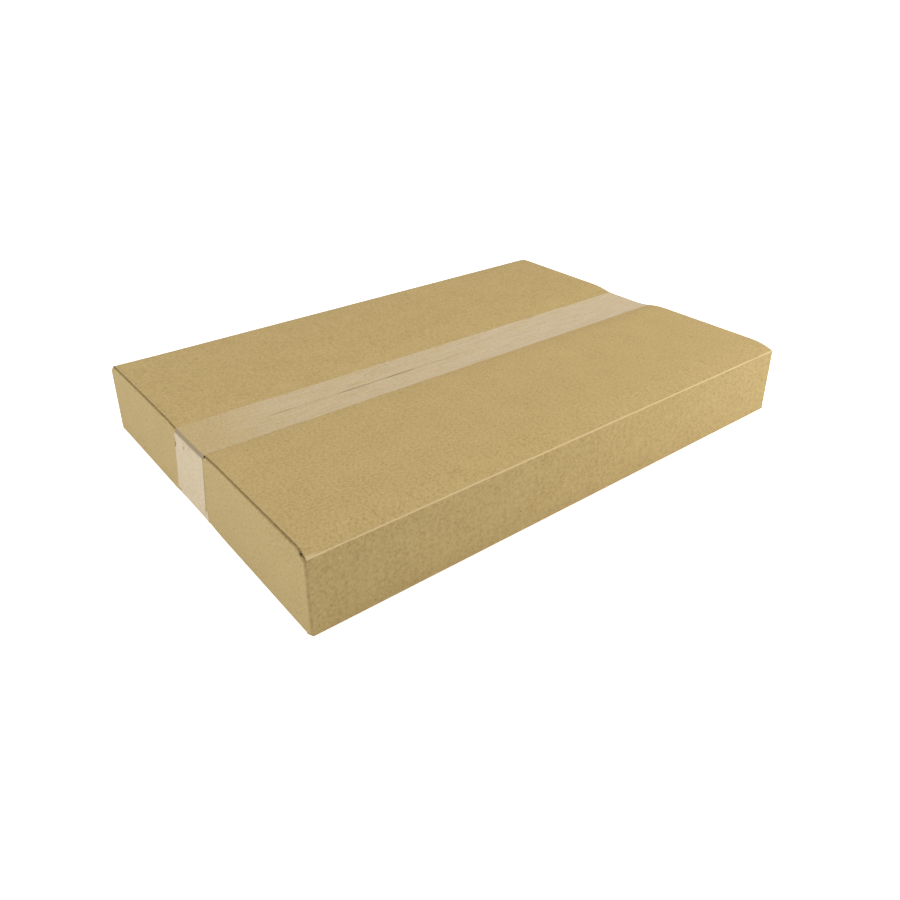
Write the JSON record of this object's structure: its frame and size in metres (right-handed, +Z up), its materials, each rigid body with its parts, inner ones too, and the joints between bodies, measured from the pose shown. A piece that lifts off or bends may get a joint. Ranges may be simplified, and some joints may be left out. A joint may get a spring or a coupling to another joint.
{
  "type": "shallow cardboard shipping box",
  "caption": "Shallow corrugated cardboard shipping box, closed, its outer flaps meeting at a middle seam that clear-film packing tape seals on top, below and down both ends.",
  "frame": {"origin": "under the middle of the box, on the plane that it rests on", "axes": "+X along the long side and the taped seam, +Y across the seam, +Z up"},
  "size_m": [0.4508, 0.315, 0.0614],
  "materials": {
    "kraft_board": "matt kraft liner",
    "film_tape": "clear film over kraft"
  },
  "bodies": {
    "root": {"carton": "kraft_board", "top_tape": "film_tape", "bottom_tape": "film_tape"}
  },
  "joints": []
}
